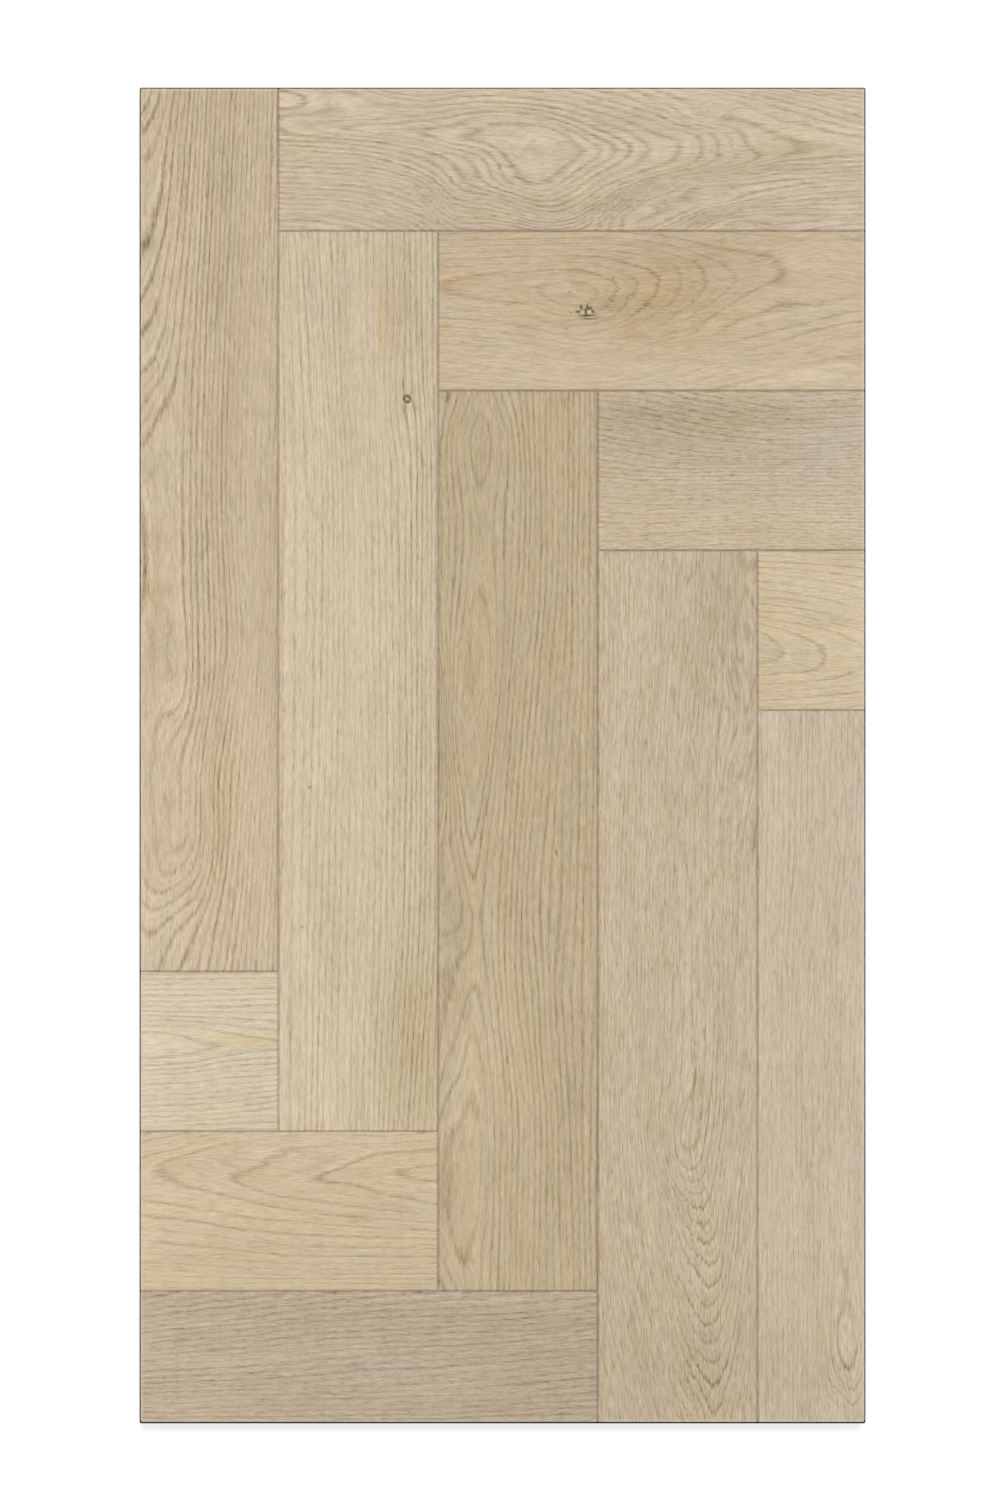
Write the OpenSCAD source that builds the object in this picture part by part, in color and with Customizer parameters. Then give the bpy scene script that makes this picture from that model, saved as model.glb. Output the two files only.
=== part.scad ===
// Herringbone parquet panel: bevelled oak blocks, tongued and grooved on all
// four sides, glued at their tongues and sawn to a rectangle.
// The panel lies flat with its wearing face up. Its long side runs along Y,
// and the origin is the centre of its underside. Sizes are in millimetres.

/* [Block] */
// Length of a whole block's face
block_l = 620; // [500:5:760]
// Width of a block's face
block_w = 110; // [90:1:140]
// Thickness of a block
block_t = 15; // [13:0.5:22]
// Width and depth of the bevel round a block's face
bevel = 1.2; // [0.4:0.1:2.5]

/* [Tongue and groove] */
// Thickness of the tongue
tongue_t = 4; // [3:0.1:5]
// How far the tongue stands out
tongue_out = 4.5; // [3:0.1:6]
// Chamfer along the tongue's nose
tongue_nose = 0.6; // [0.2:0.1:1.2]
// Wood left below the groove
lower_lip = 5; // [4:0.1:6]
// How far the lower lip is set back, so that the faces above meet first
lip_back = 0.2; // [0.1:0.05:0.5]
// Play above and below the tongue in its groove
tongue_play = 0.15; // [0.05:0.05:0.3]
// How much deeper the groove is than the tongue is long
groove_spare = 0.5; // [0.2:0.1:1]

/* [Sawn outline] */
// Width sawn off the left-hand blocks
left_off = 14.5; // [8:0.5:60]
// Width sawn off the right-hand blocks
right_off = 35.5; // [8:0.5:80]
// Height sawn off the uppermost blocks
top_off = 11; // [8:0.5:60]
// Height sawn off the lowest blocks
bottom_off = 19; // [8:0.5:60]
// Radius of the panel's four corners
corner_r = 1.5; // [0.5:0.1:5]
// Small chamfer round the panel's wearing face
arris = 0.7; // [0.3:0.1:2]

/* [Hidden] */
// Blocks that lie along the panel, and blocks that lie across it in its
// upper and its lower part
LENGTHWISE = 5;
UPPER = 4;
LOWER = 3;

// The pattern is five blocks wide, and it climbs by one block width from each
// lengthwise block to the next
panel_w = LENGTHWISE * block_w - left_off - right_off;
panel_l = block_l + LOWER * block_w - top_off - bottom_off;

// Upper left corner of the second lengthwise block, where the pattern is counted from
pattern_x = block_w - left_off - panel_w / 2;
pattern_y = panel_l / 2 - (block_w - top_off);

groove_deep = tongue_out + groove_spare;
groove_floor = lower_lip - tongue_play;
groove_roof = lower_lip + tongue_t + tongue_play;

// How far a cutting shape runs past what it cuts
past = 10;

// Oak as it comes from different logs
PALE = [0.82, 0.76, 0.66];
STRAW = [0.80, 0.73, 0.62];
SAND = [0.78, 0.71, 0.60];
TAN = [0.74, 0.67, 0.55];
GREY = [0.74, 0.68, 0.58];
LENGTHWISE_OAK = [SAND, STRAW, TAN, GREY, SAND];
CROSSWISE_OAK = [SAND, STRAW, GREY, PALE, PALE, STRAW, GREY];

// Section from a grooved edge at 0 to a tongued edge at face
module section(face) {
    polygon([
        [lip_back, 0],
        [face - lip_back, 0],
        [face - lip_back, lower_lip],
        [face + tongue_out - tongue_nose, lower_lip],
        [face + tongue_out, lower_lip + tongue_nose],
        [face + tongue_out, lower_lip + tongue_t - tongue_nose],
        [face + tongue_out - tongue_nose, lower_lip + tongue_t],
        [face, lower_lip + tongue_t],
        [face, block_t - bevel],
        [face - bevel, block_t],
        [bevel, block_t],
        [0, block_t - bevel],
        [0, groove_roof],
        [groove_deep, groove_roof],
        [groove_deep, groove_floor],
        [lip_back, groove_floor]
    ]);
}

// Whole block with its upper left corner at the origin. The left and upper
// edges are grooved, the right and lower edges tongued, and where the two
// sections cross, bevels and tongues meet in mitres.
module block(across, down) {
    intersection() {
        translate([0, past, 0])
            rotate([90, 0, 0])
                linear_extrude(down + 2 * past) section(across);
        translate([across + past, 0, 0])
            rotate([90, 0, -90])
                linear_extrude(across + 2 * past) section(down);
    }
}

// Upright section of the sawn panel, chamfered on both sides of its upper face
module sawn_section(wide) {
    polygon([
        [-wide / 2, 0],
        [wide / 2, 0],
        [wide / 2, block_t - arris],
        [wide / 2 - arris, block_t],
        [-wide / 2 + arris, block_t],
        [-wide / 2, block_t - arris]
    ]);
}

// Outline of the sawn panel, with its rounded corners
module sawn_outline() {
    square([panel_w, panel_l - 2 * corner_r], center = true);
    square([panel_w - 2 * corner_r, panel_l], center = true);
    for (x = [-1, 1], y = [-1, 1])
        translate([x * (panel_w / 2 - corner_r), y * (panel_l / 2 - corner_r)])
            circle(corner_r, $fn = 48);
}

// Everything that the saw leaves
module sawn_panel() {
    intersection() {
        linear_extrude(block_t) sawn_outline();
        rotate([90, 0, 0])
            linear_extrude(panel_l + 2 * past, center = true) sawn_section(panel_w);
        rotate([90, 0, 90])
            linear_extrude(panel_w + 2 * past, center = true) sawn_section(panel_l);
    }
}

// Block laid in the pattern at a place counted from the pattern's corner, and sawn
module laid(x, y, across, down) {
    intersection() {
        translate([pattern_x + x, pattern_y + y, 0]) block(across, down);
        sawn_panel();
    }
}

// Blocks along the panel, from left to right, each one block width lower
module lengthwise_block(i) {
    step = (i - 2) * block_w;
    color(LENGTHWISE_OAK[i - 1]) laid(step, -step, block_w, block_l);
}

// Blocks across the panel, from the top down: the upper ones start at the
// upper left corner of a lengthwise block, and the lower ones end at a
// lengthwise block's lower right corner
module crosswise_block(i) {
    upper_step = (i - 1) * block_w;
    lower_step = (i - UPPER - 1) * block_w;
    color(CROSSWISE_OAK[i - 1])
        if (i <= UPPER)
            laid(upper_step, block_w - upper_step, block_l, block_w);
        else
            laid(lower_step - block_l, block_w - block_l - lower_step, block_l, block_w);
}

for (i = [1 : LENGTHWISE])
    lengthwise_block(i);
for (i = [1 : UPPER + LOWER])
    crosswise_block(i);
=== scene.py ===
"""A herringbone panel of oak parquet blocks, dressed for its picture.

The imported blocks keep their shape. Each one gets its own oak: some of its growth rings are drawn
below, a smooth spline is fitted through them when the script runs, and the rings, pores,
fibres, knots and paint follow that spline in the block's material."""
import math
import bpy
import numpy as np
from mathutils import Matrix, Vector


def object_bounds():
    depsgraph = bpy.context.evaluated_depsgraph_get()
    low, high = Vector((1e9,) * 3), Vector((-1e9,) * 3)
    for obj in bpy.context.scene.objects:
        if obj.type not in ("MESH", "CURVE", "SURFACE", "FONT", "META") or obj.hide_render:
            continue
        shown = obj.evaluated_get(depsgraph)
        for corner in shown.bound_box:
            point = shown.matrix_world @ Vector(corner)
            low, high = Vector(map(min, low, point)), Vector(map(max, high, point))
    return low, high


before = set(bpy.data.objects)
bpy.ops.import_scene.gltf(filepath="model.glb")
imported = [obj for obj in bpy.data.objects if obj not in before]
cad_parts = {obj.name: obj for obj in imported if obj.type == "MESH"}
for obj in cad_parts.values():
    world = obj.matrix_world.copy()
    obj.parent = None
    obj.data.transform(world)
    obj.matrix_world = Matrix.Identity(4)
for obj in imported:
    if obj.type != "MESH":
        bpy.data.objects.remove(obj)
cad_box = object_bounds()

# Sizes in millimetres, and places from the panel's upper left corner: x to the right, y down
PANEL_W = 500.0
PANEL_L = 920.0
THICK = 15.0
CORNER_R = 1.5
BEVEL = 1.2

# What the blocks' oak has in common. A block's own entry takes the place of one of these.
USUAL = {
    "pitch": 3.6,     # the rings' usual spacing
    "across": 14.0,   # spacing of the spline's control points across the block
    "along": 32.0,    # and along it
    "jag": 1.0,       # how jagged a ring is where it crosses the fibres
    "waver": 1.0,     # how much the rings waver
    "line": 1.0,      # how wide a ring's dark line is
    "contrast": 1.0,  # how dark the rings are
    "pores": 0.10,    # how dark the pores are
    "fine": 0.06,     # how dark the finest fibres are
    "thread": 0.05,   # how dark the long threads are
    "shade": [],      # darker soft patches, lighter where the amount is below 0: the oak's tone, and in part painted shade where the light falls off across a block; centre, reach and amount
    "warm": [],       # yellower soft patches
    "calm": [],       # soft patches where the rings fade
    "dashes": [],     # short dark marks: centre, length, width, angle and amount
    "rings": [],      # small dark rings: centre, radius, width and amount
    "depth": [],      # rings between the heart and the face, at places along the block
}

# Each block's oak, read off the photograph. Its guide lines are rings: a ring's count from
# the heart, and then x and y of the points that it passes through.
BLOCKS = {
    "lengthwise_block_1": {
        "outline": (0, 0, 95.5, 609), "seed": 1, "tone": (192, 172, 143), "waver": 1.8, "line": 0.9,
        "depth": [(0, 0), (480, 0), (530, 0.9), (541, 2.0), (553, 3), (565, 4), (583, 5), (609, 6)],
        # Painted shade in part: the two wide patches at x 45, darker above and lighter below, follow the
        # light across the block
        "shade": [
            ((23, 360), (7, 40), -0.018), ((50, 520), (18, 90), 0.012), ((13, 569), (16, 40), -0.035),
            ((24, 140), (18, 60), -0.02), ((59, 380), (14, 60), 0.03), ((59, 300), (11, 290), 0.012),
            ((59, 40), (11, 40), 0.014), ((45, 130), (60, 190), 0.02), ((45, 470), (50, 160), -0.02),
            ((90, 300), (14, 260), 0.02), ((9, 360), (8, 60), 0.03), ((3, 106), (8, 8), 0.07),
            ((12, 20), (12, 14), 0.03),
        ],
        "warm": [((9, 360), (8, 60), 0.008), ((56, 500), (20, 90), 0.012)],
        "calm": [
            ((8, 170), (15, 170), -0.5), ((23, 390), (5, 22), 0.9), ((13, 480), (8, 46), 0.75),
            ((84, 250), (24, 200), 0.75), ((84, 500), (19, 110), 0.6),
        ],
        "dashes": [
            ((57, 80), 11, 0.6, 88, 0.1), ((61, 118), 14, 0.6, 91, 0.1), ((54, 148), 10, 0.6, 92, 0.09),
            ((66, 100), 9, 0.6, 90, 0.08), ((52, 64), 8, 0.6, 90, 0.08), ((1.5, 23.8), 0.5, 1.2, 0, 0.2),
            ((1.6, 27.3), 0.6, 1.4, 0, 0.24),
        ],
        "rings": [((1.0, 25.8), 1.5, 0.5, 0.2)],
        "lines": [
            (-10, 14, 0, 12, 12, 8, 25, 0, 34),
            (-9, 20, 0, 18, 15, 14, 30, 8, 43, 0, 50),
            (-8, 24, 0, 21, 25, 18, 50, 15, 75, 9, 100, 0, 113),
            (-7, 28, 0, 25, 30, 22, 60, 18, 90, 14, 110, 9, 130, 4, 145, 0, 150),
            (-6, 31.5, 0, 28, 45, 25, 80, 21, 110, 16, 135, 10, 155, 4, 165, 0, 169),
            (-5, 35, 0, 31, 50, 27, 95, 23, 130, 19, 155, 15, 174, 8, 190, 0, 197),
            (-4, 38, 0, 34, 60, 30, 110, 26, 150, 22, 185, 15, 202, 6, 215, 0, 222),
            (-3, 41, 0, 37, 70, 33, 120, 28, 170, 25, 192, 20, 210, 14, 226, 6, 240, 0, 247),
            (-2.6, 12, 262, 14, 300, 14, 340, 12, 380, 8, 410, 3, 440, 2, 480, 3, 515),
            (-2, 44, 0, 40, 80, 36, 140, 32, 200, 30, 250, 30, 300, 31, 350, 33, 400, 32, 416, 27, 423, 19,
             431, 13, 440, 10, 455, 9, 480, 10, 505, 13, 525, 18, 537),
            (-1, 47, 0, 43, 80, 39, 150, 36, 220, 35, 290, 36, 360, 37, 410, 33, 430, 26, 443, 20, 453, 18,
             470, 17.5, 490, 19, 510, 22, 526),
            (1, 53, 0, 50, 80, 46, 160, 43, 240, 43, 300, 44, 360, 44, 400, 42, 425, 38, 450, 35, 475, 34,
             495, 34, 512),
            (2, 56, 0, 53, 80, 49.5, 160, 46.5, 240, 46.5, 300, 48, 360, 48, 400, 46, 425, 42, 450, 38.5,
             480, 38.5, 505, 37, 522, 30, 537),
            (3, 42, 490, 42, 510, 41, 525, 36, 538, 28, 547, 18, 551),
            (-3, 0, 542, 5, 549),
            (-4, 0, 555, 4, 562),
            (4, 45, 500, 45, 520, 42, 538, 36, 549, 27, 556, 17, 562),
            (5, 48, 490, 48.5, 515, 46, 538, 41, 552, 33, 562, 22, 572, 12, 580),
            (-5, 0, 575, 4, 581),
            (7, 54, 490, 54.5, 515, 52, 540, 47, 560, 41, 578, 33, 595, 27, 608),
            (6, 70, 0, 66, 80, 62.5, 160, 60, 240, 60, 300, 62, 345, 64, 375, 64, 385, 62, 400, 59, 420, 55,
             445),
            (9, 79, 0, 76, 80, 72.5, 160, 70, 240, 70, 300, 72, 350, 74, 378, 73, 395, 70, 420, 66, 450, 63,
             480, 62, 510, 60, 535, 57, 555, 52, 580, 47, 608),
            (13, 92, 0, 90, 80, 87, 160, 84, 240, 83, 300, 84, 350, 84.5, 380, 83, 420, 80, 460, 77, 500,
             75, 535, 72, 570, 68, 608),
        ],
    },
    "lengthwise_block_2": {
        "outline": (95.5, 99, 205.5, 719), "seed": 4, "tone": (195, 178, 148), "pitch": 4.4, "waver": 1.6,
        "line": 0.8, "contrast": 0.6,
        "shade": [
            ((194, 655), (14, 60), 0.014), ((150, 135), (60, 46), 0.016), ((120, 665), (30, 70), -0.016),
            ((110, 400), (20, 300), -0.018), ((188, 650), (20, 70), 0.055), ((169, 160), (7, 36), 0.03),
            ((185, 150), (26, 70), 0.02), ((150, 420), (10, 200), -0.012), ((195, 400), (9, 240), 0.015),
        ],
        "warm": [
            ((202, 260), (6, 150), -0.012), ((169, 160), (7, 36), 0.03), ((190, 660), (14, 56), 0.02),
            ((140, 150), (60, 60), -0.008),
        ],
        "calm": [
            ((150, 330), (12, 260), 0.6), ((190, 330), (14, 200), -0.8), ((190, 600), (12, 120), -0.6),
            ((115, 150), (14, 60), -0.3),
        ],
        "dashes": [
            ((181.9, 222.3), 3.6, 0.5, 69, 0.22), ((189, 222), 4.2, 0.45, 76, 0.15),
            ((187.3, 208.7), 2.2, 0.45, 107, 0.15), ((184.9, 216.8), 1.3, 0.7, 0, 0.3),
            ((185.9, 213.4), 0.7, 1.0, 0, 0.25), ((117, 482), 1.0, 0.9, 0, 0.32),
            ((117.5, 494), 0.5, 2.6, 0, 0.16), ((112, 578), 0.9, 0.9, 0, 0.28),
            ((184.4, 213), 0.6, 0.6, 0, 0.45), ((182.3, 214.4), 0.6, 0.5, 0, 0.45),
            ((187, 210.5), 0.6, 0.6, 0, 0.3),
        ],
        "rings": [((184.3, 214.3), 2.1, 1.0, 0.42)],
        "lines": [
            (1, 103, 99, 105, 180, 107, 260, 107, 350, 106, 450, 105, 550, 104, 640, 103, 719),
            (4, 115, 99, 118, 150, 122, 200, 125, 260, 126, 320, 125, 400, 123, 480, 121, 560, 119, 640,
             118, 719),
            (7, 127, 99, 129, 150, 132, 200, 136, 260, 137, 330, 137, 400, 136, 480, 134, 560, 132, 640,
             131, 719),
            (10, 141, 99, 142, 160, 144, 220, 147, 280, 148, 360, 149, 440, 149, 520, 147, 600, 145, 719),
            (13, 156, 99, 157, 160, 158, 220, 160, 300, 161, 380, 162, 460, 162, 540, 160, 620, 157, 719),
            (16, 170, 99, 170, 160, 169, 215, 172, 260, 174, 330, 175, 420, 175, 500, 174, 580, 171, 650,
             168, 719),
            (18, 178, 99, 179, 160, 177, 195, 175, 212, 178, 228, 181, 245, 183, 270, 183, 330, 183, 420,
             183, 500, 181, 580, 178, 650, 175, 719),
            (20, 186, 99, 187, 160, 188, 195, 190, 212, 190, 226, 190, 245, 191, 270, 191, 340, 191, 500,
             189, 580, 185, 650, 181, 719),
            (22, 194, 99, 194, 160, 194, 200, 196, 225, 198, 250, 198, 300, 197, 400, 197, 500, 196, 580,
             192, 650, 188, 719),
            (24, 202, 99, 202, 200, 204, 250, 204, 400, 203.5, 500, 203, 580, 200, 640, 196, 719),
        ],
    },
    "lengthwise_block_3": {
        "outline": (205.5, 209, 315.5, 829), "seed": 5, "tone": (180, 161, 129), "pitch": 3.8,
        "along": 26.0, "waver": 1.6, "line": 0.85, "contrast": 0.75,
        "depth": [
            (209, 2.4), (222, 1), (232, 0.4), (258, 0.4), (270, 1), (285, 1.4), (330, 1.4), (350, 1),
            (370, 0.4), (460, 0.4), (490, 1), (510, 1.5), (540, 3), (560, 3.6), (582, 4), (622, 3),
            (652, 2), (700, 1), (720, 0.5), (790, 0.5), (806, 1), (829, 1.6),
        ],
        "shade": [
            ((298, 700), (14, 110), 0.012), ((247, 640), (26, 90), -0.03), ((221, 705), (14, 100), -0.02),
            ((230, 700), (30, 110), -0.022), ((218, 580), (7, 22), 0.05), ((223, 632), (6, 14), 0.05),
            ((232, 586), (3, 14), -0.035), ((231, 628), (2.5, 12), -0.05), ((229, 656), (2.5, 10), -0.05),
            ((222, 803), (6, 7), 0.05), ((221, 225), (8, 14), 0.03),
        ],
        "warm": [
            ((233, 400), (9, 45), 0.02), ((222, 803), (6, 7), 0.02), ((218, 580), (7, 22), -0.01),
            ((285, 245), (14, 50), 0.006), ((254, 640), (14, 110), 0.004), ((262, 450), (10, 70), 0.002),
        ],
        "calm": [((210, 560), (8, 26), 0.85)],
        "dashes": [
            ((283, 640), 10, 0.55, 90, 0.1), ((290, 690), 14, 0.55, 89, 0.11),
            ((297, 740), 12, 0.55, 91, 0.1), ((307, 660), 14, 0.55, 90, 0.1),
            ((284, 760), 12, 0.55, 90, 0.09), ((287, 527), 2.2, 0.9, 80, 0.3),
        ],
        "lines": [
            (-1, 235, 222, 230, 227, 228, 240, 229, 255, 233, 268),
            (1, 236, 222, 240, 228, 243, 240, 241, 255, 236, 269),
            (-3, 229, 209, 227, 218, 223, 230, 220, 240, 219, 255, 221, 275, 223, 300, 222, 330, 219, 360,
             217, 400, 216, 440, 217, 465, 220, 490, 222, 515, 226, 535),
            (3, 243, 209, 246, 218, 250, 230, 253, 242, 254, 260, 252, 290, 251, 320, 251, 350, 248, 390,
             246, 430, 243, 460, 240, 490, 236, 515, 233, 535),
            (-1, 230, 355, 226, 370, 224, 400, 222, 430, 222, 450, 224, 470, 228, 486),
            (1, 238, 355, 243, 375, 243, 400, 240, 430, 237, 460, 232, 486),
            (-6, 213, 209, 209, 230, 207, 260, 208, 300, 208, 340, 207, 380),
            (5, 254, 209, 258, 225, 261, 240, 262, 270, 261, 310, 260, 345, 257, 385, 253, 430, 250, 470,
             246, 510, 243, 550, 243, 600, 247, 650, 251, 700),
            (7, 266, 209, 268, 240, 269, 280, 268, 330, 266, 370, 262, 410, 259, 450, 256, 490, 253, 540,
             251, 600, 255, 650, 260, 700, 260, 760, 258, 829),
            (10, 279, 209, 280, 280, 280, 340, 276, 390, 272, 440, 268, 490, 264, 540, 263, 600, 267, 650,
             272, 700, 272, 760, 270, 829),
            (14, 295, 209, 295, 300, 294, 360, 291, 420, 287, 480, 284, 530, 282, 600, 284, 660, 288, 720,
             290, 829),
            (18, 310, 209, 310, 300, 309, 400, 307, 500, 305, 600, 305, 700, 307, 829),
            (-4, 231, 584, 226, 592, 219, 602, 213, 618, 210, 640, 207, 665),
            (4, 234, 585, 238, 600, 242, 625, 245, 650, 248, 680, 249, 720, 248, 780, 247, 829),
            (-3, 229, 624, 222, 640, 216, 655, 211, 672, 207, 690),
            (3, 231, 624, 235, 640, 239, 665, 242, 690, 244, 720, 243, 780, 241, 829),
            (-2, 230, 654, 226, 666, 218, 681, 211, 697, 206, 715),
            (2, 233, 655, 236, 680, 239, 705, 240, 730, 239, 770, 236, 800, 235, 829),
            (-1, 229, 701, 221, 712, 214, 723, 211, 740, 211, 760, 213, 780, 217, 796, 221, 805),
            (1, 231, 702, 235, 720, 236, 740, 234, 760, 232, 780, 229, 796, 225, 805),
            (-2, 208, 803, 213, 815, 219, 828),
            (-6, 207, 560, 209, 520),
        ],
    },
    "lengthwise_block_4": {
        "outline": (315.5, 319, 425.5, 920), "seed": 6, "tone": (186, 169, 142), "pitch": 3.2,
        "along": 26.0, "jag": 1.5, "waver": 1.4, "line": 0.6, "contrast": 0.38, "pores": 0.09,
        "fine": 0.085, "thread": 0.095,
        "depth": [
            (319, 0), (560, 0.2), (600, 0.6), (690, 0.9), (703, 1), (710, 0.6), (728, 0.6), (736, 1),
            (743, 2), (753, 3), (763, 4), (773, 5), (784, 6), (797, 7), (808, 8), (825, 9), (840, 10),
            (850, 11), (862, 12), (880, 13), (893, 14), (908, 15), (920, 15.6),
        ],
        "shade": [
            ((388, 372), (16, 48), 0.01), ((330, 460), (14, 170), -0.018), ((331, 862), (22, 56), 0.028),
            ((405, 368), (22, 46), 0.018), ((395, 892), (34, 34), 0.016), ((405, 370), (22, 60), 0.028),
            ((370, 890), (60, 50), 0.03), ((423, 515), (1.6, 11), 0.14),
        ],
        "warm": [((370, 560), (50, 200), -0.004), ((413, 620), (8, 260), -0.01)],
        "calm": [
            ((386, 700), (14, 40), -2.2), ((388, 800), (18, 50), -2.6), ((392, 890), (18, 40), -2.6),
            ((412, 410), (12, 30), -1.0),
        ],
        "dashes": [((409, 398), 8, 0.6, 100, 0.08), ((416, 418), 7, 0.6, 80, 0.08)],
        "lines": [
            (-1, 395, 319, 391, 400, 386, 460, 382, 520, 379, 570, 378, 620, 378, 670, 375, 700, 371, 718,
             373, 730, 378, 736),
            (1, 401, 319, 397, 400, 392, 460, 389, 520, 391, 570, 392, 620, 391, 670, 388, 700, 384, 718,
             383, 730, 380, 736),
            (-3, 388, 319, 384, 400, 379, 460, 375, 520, 372, 620, 370, 680, 366, 718, 370, 744, 378, 752),
            (3, 406, 319, 405, 370, 406, 400, 410, 425, 413, 430),
            (-7, 374, 319, 370, 400, 366, 460, 362, 540, 360, 620, 358, 680, 356, 718, 362, 750, 372, 775,
             383, 792, 389, 797),
            (-11, 361, 319, 358, 400, 355, 460, 352, 540, 350, 620, 349, 680, 348, 718, 352, 750, 360, 780,
             369, 812, 380, 838, 388, 850),
            (-15, 348, 319, 346, 400, 343, 460, 341, 540, 340, 620, 339, 680, 338, 718, 341, 750, 347, 780,
             355, 812, 364, 840, 375, 872, 386, 896, 394, 907),
            (-19, 334, 319, 333, 400, 331, 460, 329, 540, 328, 620, 327, 718, 330, 780, 337, 820, 348, 860,
             360, 890, 372, 918),
            (-23, 320, 319, 319, 460, 317, 620, 316, 718, 319, 780, 326, 840, 336, 880, 348, 918),
            (-26, 316, 860, 326, 900, 332, 918),
            (2, 386, 737, 390, 722, 393, 700, 396, 640, 395, 570, 394, 520, 397, 470, 402, 420),
            (3, 388, 750, 392, 735, 395, 712, 398, 660, 398, 600, 399, 540, 402, 490, 408, 450),
            (5, 389, 772, 394, 760, 398, 735, 401, 700, 404, 640, 405, 580, 407, 520, 412, 480, 419, 450,
             424, 432),
            (7, 393, 796, 397, 785, 401, 760, 406, 720, 410, 650, 412, 580, 414, 530, 420, 490, 425, 470),
            (9, 398, 824, 402, 808, 405, 780, 410, 730, 415, 670, 418, 600, 420, 550, 424, 510),
            (11, 395, 849, 400, 842, 405, 822, 409, 790, 414, 750, 419, 700, 423, 620),
            (13, 396, 879, 402, 868, 408, 845, 413, 810, 419, 760, 424, 710),
            (15, 398, 907, 404, 895, 411, 865, 416, 830, 422, 780),
            (18, 411, 918, 417, 880, 423, 840),
            (4, 411, 319, 410, 370, 411, 396, 415, 402, 420, 392, 424, 372),
        ],
    },
    "lengthwise_block_5": {
        "outline": (425.5, 429, 500, 920), "seed": 7, "tone": (189, 173, 148), "pitch": 4.0, "jag": 1.4,
        "line": 0.6, "contrast": 0.35, "pores": 0.085, "fine": 0.075, "thread": 0.08,
        "depth": [
            (429, 0), (800, 0.5), (835, 1.3), (853, 1), (862, 0.6), (878, 0.6), (887, 1), (894, 2),
            (904, 3), (916, 4), (920, 4.2),
        ],
        "shade": [
            ((436, 500), (9, 80), -0.022), ((462, 700), (18, 100), 0.018), ((434, 885), (10, 40), 0.02),
            ((489, 850), (9, 50), -0.022), ((460, 890), (50, 40), 0.022),
        ],
        "calm": [((489, 857), (9, 15), 3.0), ((486, 880), (14, 32), -3.2), ((484, 820), (8, 40), -1.6)],
        "dashes": [((485, 901), 6, 0.6, 60, 0.07)],
        "lines": [
            (-1, 492, 429, 490, 520, 485, 580, 483, 650, 482, 720, 483, 800, 482, 845, 480, 862, 481, 876,
             485, 886),
            (1, 499, 429, 496, 520, 491, 580, 489, 650, 488, 720, 489, 800, 491, 845, 494, 862, 493, 876,
             489, 886),
            (-2, 488, 429, 486, 520, 481, 580, 479, 650, 478, 720, 479, 800, 477, 850, 476, 875, 480, 886,
             487, 893),
            (2, 500, 520, 495, 580, 493, 650, 492, 720, 493, 800, 496, 840, 499, 862, 498, 880, 495, 890,
             491, 894),
            (-3, 472, 860, 475, 885, 481, 897, 489, 903),
            (3, 500, 885, 497, 900, 492, 904),
            (-5, 476, 429, 475, 520, 470, 580, 468, 650, 467, 720, 468, 800, 466, 850, 467, 890, 474, 918),
            (-10, 456, 429, 455, 520, 451, 580, 449, 650, 449, 720, 450, 800, 450, 918),
            (-15, 436, 429, 436, 520, 433, 600, 432, 720, 432, 800, 431, 918),
        ],
    },
    "crosswise_block_1": {
        "outline": (95.5, 0, 500, 99), "seed": 2, "tone": (191, 173, 147), "pitch": 3.4, "across": 11.0,
        "along": 20.0, "line": 1.15, "contrast": 0.74,
        "depth": [
            (95, 5), (118, 4.2), (140, 3), (180, 2.2), (205, 1.7), (226, 1), (240, 0.5), (295, 0.4),
            (306, 1), (317, 2), (326, 3), (335, 4), (350, 5), (370, 6), (389, 7), (400, 8), (410, 9),
            (422, 10), (458, 11), (500, 11.6),
        ],
        "shade": [
            ((275, 45), (7, 5), 0.02), ((275, 45), (9, 6), 0.036), ((270, 76), (90, 20), 0.013),
            ((425, 38), (50, 12), 0.018), ((220, 22), (110, 26), -0.02), ((482, 35), (26, 40), -0.03),
            ((240, 90), (140, 14), 0.022), ((275, 45), (26, 9), 0.02), ((110, 8), (14, 5), -0.05),
            ((145, 10), (22, 4), -0.04), ((127, 20), (9, 1.6), 0.07), ((225, 33), (4, 3), 0.06),
            ((330, 22), (22, 9), 0.02), ((330, 80), (14, 9), 0.02), ((465, 45), (40, 3), 0.03),
        ],
        "warm": [
            ((275, 45), (10, 6), 0.02), ((270, 38), (36, 16), -0.014), ((330, 22), (24, 12), -0.014),
            ((180, 70), (50, 20), -0.006),
        ],
        "calm": [
            ((150, 86), (70, 16), 0.45), ((470, 88), (40, 14), 0.3), ((392, 14), (14, 8), 0.85),
            ((392, 74), (16, 7), 0.85),
        ],
        "dashes": [
            ((178, 84), 24, 0.55, 14, 0.1), ((196, 90), 16, 0.5, 24, 0.09), ((166, 92), 20, 0.5, 9, 0.08),
        ],
        "lines": [
            (-1, 226, 34, 229, 30, 235, 27, 245, 25, 262, 25, 278, 27, 290, 31, 299, 36, 305, 42),
            (1, 227, 36, 231, 38, 240, 39, 247, 41, 252, 46, 256, 55, 258, 60, 265, 63, 275, 65.5, 280, 65,
             287, 59, 295, 53, 301, 50, 305, 45),
            (0, 240, 34, 262, 45, 275, 46, 290, 43),
            (-2, 205, 30, 222, 24.5, 235, 21, 250, 20, 265, 21, 280, 24, 292, 28.5, 303, 34, 312, 39, 316,
             42),
            (2, 200, 34, 215, 38, 228, 41, 240, 44, 247, 49, 249, 57, 254, 64, 262, 68, 275, 71, 285, 69,
             293, 63, 300, 57, 310, 51, 316, 45),
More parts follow.
